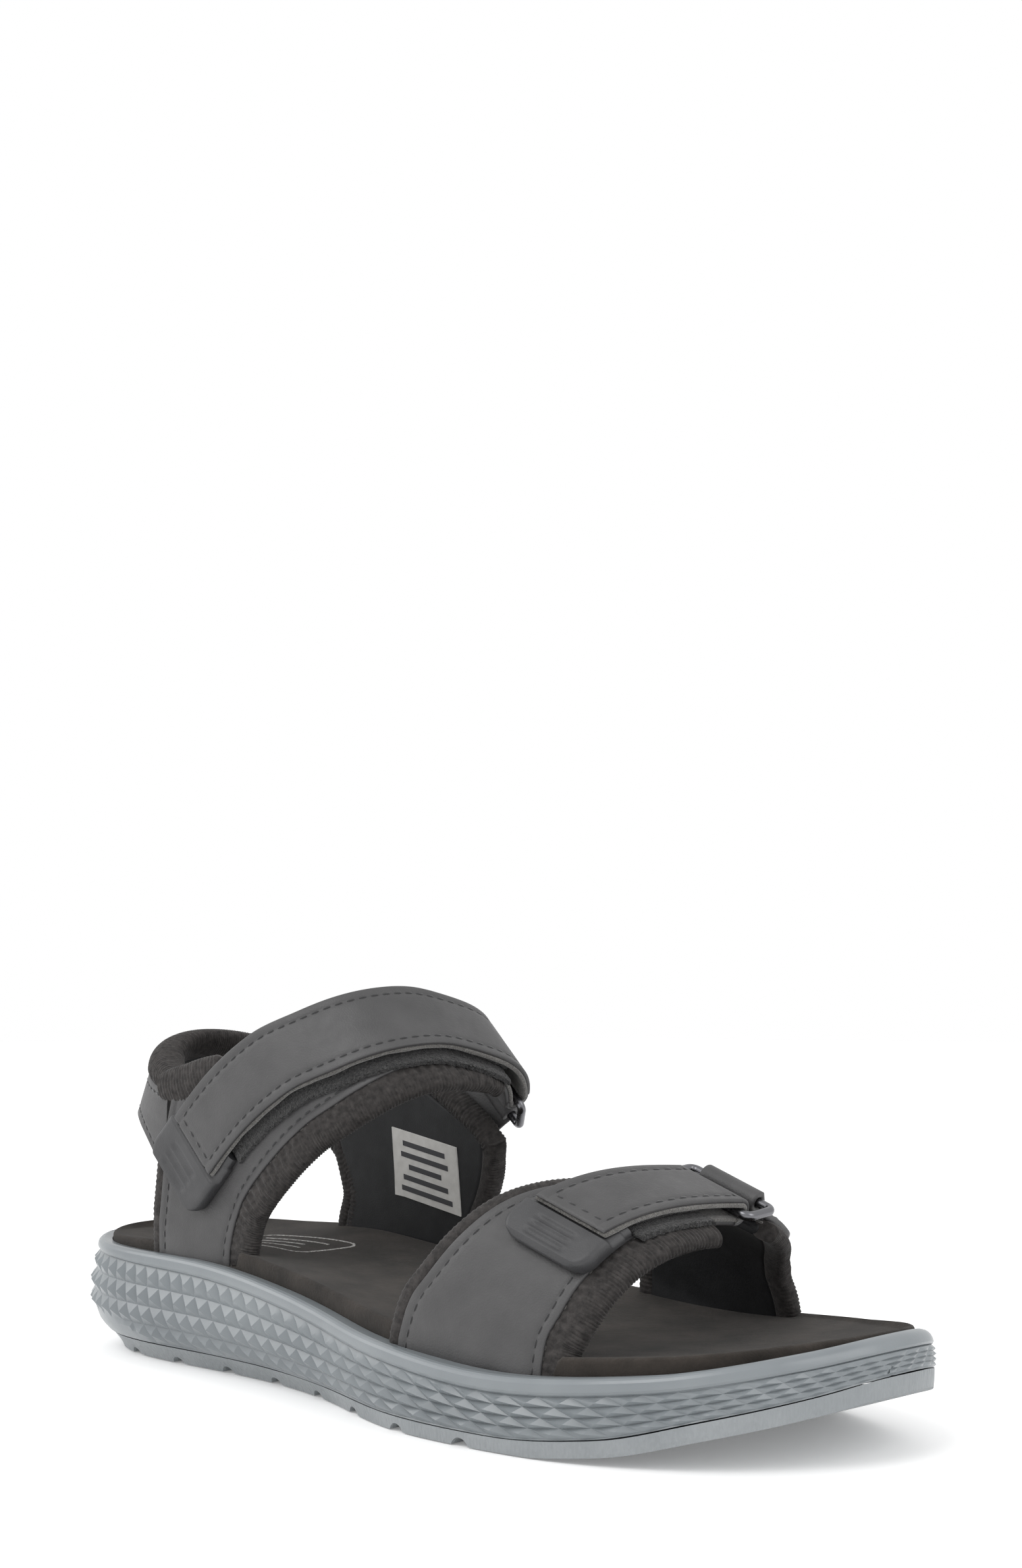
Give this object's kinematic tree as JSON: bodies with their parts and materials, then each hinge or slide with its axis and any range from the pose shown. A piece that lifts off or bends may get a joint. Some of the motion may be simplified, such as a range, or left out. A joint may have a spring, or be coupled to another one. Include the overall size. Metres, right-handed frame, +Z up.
{
  "type": "strappy sport sandal",
  "caption": "Open sport sandal with a thick cushioned sole, wrapped leather side panels, a padded heel strap, and hook-and-loop straps folded through metal rings over the forefoot and instep.",
  "frame": {"origin": "middle of the overall box, on the ground", "axes": "+X from heel to toe, +Y to the inner (big-toe) side, +Z up from the ground"},
  "size_m": [0.2566, 0.0981, 0.0982],
  "materials": {
    "outsole_rubber": "matt, grained",
    "midsole_polymer": "satin, slightly translucent, faceted wall",
    "board_fibre": "matt",
    "footbed_foam": "matt foam",
    "footbed_suede": "fine nap",
    "upper_leather": "matt grain",
    "smooth_lining": "smooth tight knit over foam",
    "binding_cloth": "soft stretch binding",
    "ring_metal": "gunmetal",
    "hook_tape": "hook tape",
    "loop_tape": "brushed loop tape",
    "tab_rubber": "moulded, matt",
    "label_cloth": "smooth woven label"
  },
  "bodies": {
    "sandal_base": {"outsole": "outsole_rubber", "midsole": "midsole_polymer", "insole_board": "board_fibre", "footbed_foam": "footbed_foam", "footbed_cover": "footbed_suede", "outer_quarter_overlay": "upper_leather", "outer_quarter_lining": "smooth_lining", "outer_quarter_front_binding": "binding_cloth", "outer_quarter_rear_binding": "binding_cloth", "inner_quarter_overlay": "upper_leather", "inner_quarter_lining": "smooth_lining", "inner_quarter_front_binding": "binding_cloth", "inner_quarter_rear_binding": "binding_cloth", "outer_vamp_overlay": "upper_leather", "outer_vamp_lining": "smooth_lining", "outer_vamp_front_binding": "binding_cloth", "outer_vamp_rear_binding": "binding_cloth", "inner_vamp_overlay": "upper_leather", "inner_vamp_lining": "smooth_lining", "inner_vamp_front_binding": "binding_cloth", "inner_vamp_rear_binding": "binding_cloth", "heel_strap": "upper_leather", "heel_lining": "smooth_lining", "heel_collar": "binding_cloth", "instep_strap_anchor": "upper_leather", "instep_ring_keeper": "upper_leather", "instep_loop_pad": "loop_tape", "vamp_strap_anchor": "upper_leather", "vamp_ring_keeper": "upper_leather", "vamp_loop_pad": "loop_tape", "size_label": "label_cloth"},
    "instep_ring_set": {"instep_ring": "ring_metal", "instep_strap_fold": "upper_leather"},
    "instep_strap_set": {"instep_strap": "upper_leather", "instep_hook_pad": "hook_tape"},
    "instep_tip_set": {"instep_strap_tip": "upper_leather", "instep_hook_tip_pad": "hook_tape", "instep_pull_tab": "tab_rubber"},
    "vamp_ring_set": {"vamp_ring": "ring_metal", "vamp_strap_fold": "upper_leather"},
    "vamp_strap_set": {"vamp_strap": "upper_leather", "vamp_hook_pad": "hook_tape"},
    "vamp_tip_set": {"vamp_strap_tip": "upper_leather", "vamp_hook_tip_pad": "hook_tape", "vamp_pull_tab": "tab_rubber"}
  },
  "joints": [
    {"name": "instep_ring_swivel", "type": "hinge", "parent": "sandal_base", "child": "instep_ring_set", "pos_m": [-0.01711, 0.03275, 0.07074], "axis": [-0.7071, 0, 0.7071], "range_deg": [0, 20]},
    {"name": "instep_strap_open", "type": "hinge", "parent": "instep_ring_set", "child": "instep_strap_set", "pos_m": [-0.01188, 0.02833, 0.07597], "axis": [-0.7071, 0, 0.7071], "range_deg": [0, 95], "deforming": ["instep_strap_fold"]},
    {"name": "instep_tip_peel", "type": "hinge", "parent": "instep_strap_set", "child": "instep_tip_set", "pos_m": [-0.0197, -0.01914, 0.08721], "axis": [-0.7071, 0, 0.7071], "range_deg": [0, 70]},
    {"name": "vamp_ring_swivel", "type": "hinge", "parent": "sandal_base", "child": "vamp_ring_set", "pos_m": [0.07598, 0.013, 0.05239], "axis": [-0.9397, 0, 0.342], "range_deg": [0, 20]},
    {"name": "vamp_strap_open", "type": "hinge", "parent": "vamp_ring_set", "child": "vamp_strap_set", "pos_m": [0.07565, 0.00444, 0.05148], "axis": [-0.9397, 0, 0.342], "range_deg": [0, 95], "deforming": ["vamp_strap_fold"]},
    {"name": "vamp_tip_peel", "type": "hinge", "parent": "vamp_strap_set", "child": "vamp_tip_set", "pos_m": [0.07363, -0.01409, 0.05465], "axis": [-0.9397, 0, 0.342], "range_deg": [0, 70]}
  ]
}
